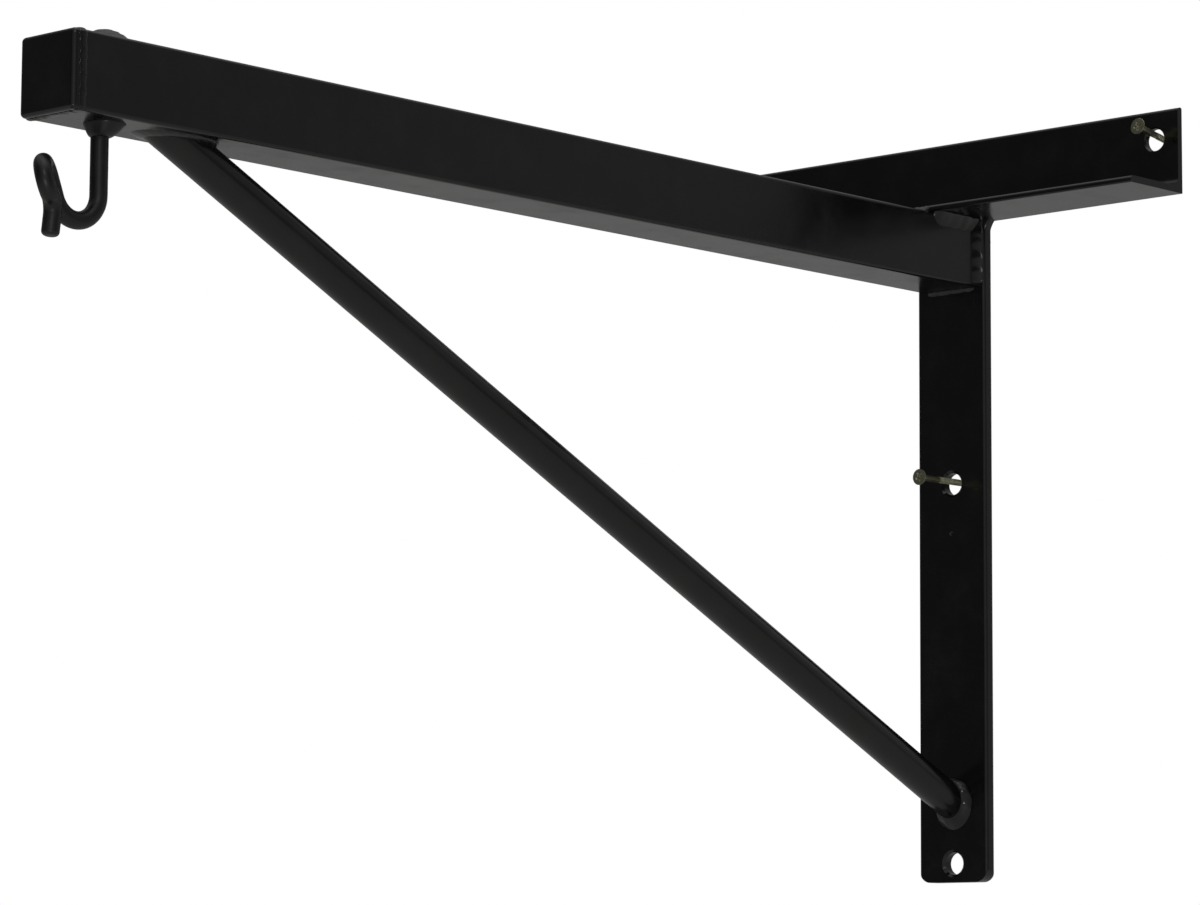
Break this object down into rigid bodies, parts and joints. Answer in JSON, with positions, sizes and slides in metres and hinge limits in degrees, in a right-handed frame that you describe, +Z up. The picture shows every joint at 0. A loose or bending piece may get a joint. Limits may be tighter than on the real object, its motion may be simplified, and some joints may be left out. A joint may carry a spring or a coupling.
{
  "type": "punch bag wall bracket",
  "caption": "Welded steel wall bracket with a square arm, round brace, wall post, cross angle and pigtail hook for a hanging bag.",
  "frame": {"origin": "on the wall plane, at the middle of the post's back face, level with the arm's underside", "axes": "+Y into the wall, -Y along the arm towards its tip, +Z up, +X to the right of a person facing the wall"},
  "size_m": [0.325, 0.7411, 0.44],
  "materials": {
    "black_paint": "gloss black paint",
    "weld_paint": "gloss black paint over rippled weld metal",
    "screw_brass": "yellow zinc plating"
  },
  "bodies": {
    "bracket": {"wall_post": "black_paint", "wall_angle": "black_paint", "arm_tube": "black_paint", "end_plate": "black_paint", "brace_tube": "black_paint", "hook": "black_paint", "end_plate_weld": "weld_paint", "hook_weld_upper": "weld_paint", "hook_weld_lower": "weld_paint", "brace_weld_upper": "weld_paint", "brace_weld_lower": "weld_paint", "arm_weld_right": "weld_paint", "arm_weld_left": "weld_paint", "arm_weld_bottom": "weld_paint", "flange_weld_front": "weld_paint", "flange_weld_right": "weld_paint", "flange_weld_left": "weld_paint", "post_weld_right": "weld_paint", "post_weld_left": "weld_paint"},
    "screw_left_body": {"screw_left": "screw_brass"},
    "screw_right_body": {"screw_right": "screw_brass"},
    "screw_middle_body": {"screw_middle": "screw_brass"}
  },
  "joints": [
    {"name": "screw_left_travel", "type": "slide", "parent": "bracket", "child": "screw_left_body", "axis": [0, -0.9877, 0.1564], "range_m": [-0.014, 0.02]},
    {"name": "screw_right_travel", "type": "slide", "parent": "bracket", "child": "screw_right_body", "axis": [0, -0.9877, 0.1564], "range_m": [-0.014, 0.02]},
    {"name": "screw_middle_travel", "type": "slide", "parent": "bracket", "child": "screw_middle_body", "axis": [0, -1, 0], "range_m": [-0.029, 0.01]}
  ]
}
